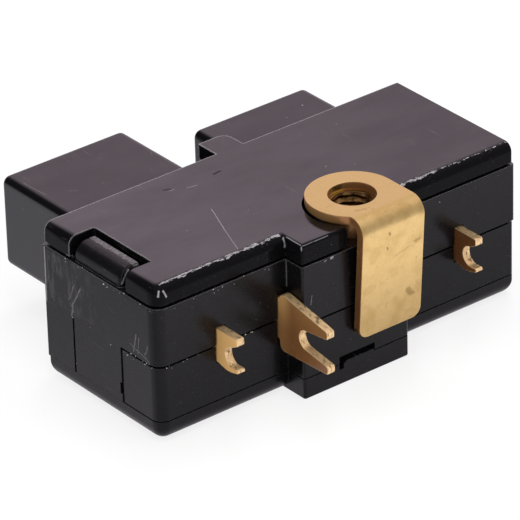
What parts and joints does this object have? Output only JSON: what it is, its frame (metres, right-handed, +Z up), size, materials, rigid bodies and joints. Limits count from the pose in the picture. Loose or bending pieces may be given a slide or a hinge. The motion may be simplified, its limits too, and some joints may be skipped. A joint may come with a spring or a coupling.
{
  "type": "horn switch unit",
  "caption": "Snap-together switch unit for a handlebar: black housing, sprung push buttons at the rear, forked brass terminals in front and a brass earth bracket over a threaded bush.",
  "frame": {"origin": "middle of the housing's flat bottom face", "axes": "+X along the housing towards the right-hand terminal, +Y towards the push buttons, +Z up to the top cover"},
  "size_m": [0.0404, 0.035, 0.0162],
  "materials": {
    "housing_black": "moulded black plastic, semi-gloss, dusty and lightly scuffed",
    "button_black": "moulded black plastic, fine grain",
    "carrier_black": "moulded black plastic, plain",
    "brass": "rolled brass sheet, satin, slightly tarnished",
    "terminal_brass": "stamped brass, tarnished, rough sheared edges",
    "contact_silver": "silver-faced contact rivet",
    "spring_steel": "plain spring wire"
  },
  "bodies": {
    "housing": {"bottom_cover": "housing_black", "lower_shell": "housing_black", "upper_shell": "housing_black", "top_cover": "housing_black", "earth_bracket": "brass", "threaded_bush": "brass", "left_terminal": "terminal_brass", "common_terminal": "terminal_brass", "right_terminal": "terminal_brass", "left_contact": "contact_silver", "common_contacts": "contact_silver", "right_contact": "contact_silver", "horn_return_spring": "spring_steel", "pass_return_spring": "spring_steel"},
    "horn_push": {"horn_button": "button_black", "horn_carrier": "carrier_black", "horn_bridge": "terminal_brass", "horn_bridge_contacts": "contact_silver"},
    "pass_push": {"pass_button": "button_black", "pass_carrier": "carrier_black", "pass_bridge": "terminal_brass", "pass_bridge_contacts": "contact_silver"}
  },
  "joints": [
    {"name": "horn_press", "type": "slide", "parent": "housing", "child": "horn_push", "axis": [0, -1, 0], "range_m": [0, 0.003], "stiffness_N_per_m": 500, "springref_m": -0.003, "deforming": ["horn_return_spring"]},
    {"name": "pass_press", "type": "slide", "parent": "housing", "child": "pass_push", "axis": [0, -1, 0], "range_m": [0, 0.003], "stiffness_N_per_m": 500, "springref_m": -0.003, "deforming": ["pass_return_spring"]}
  ]
}
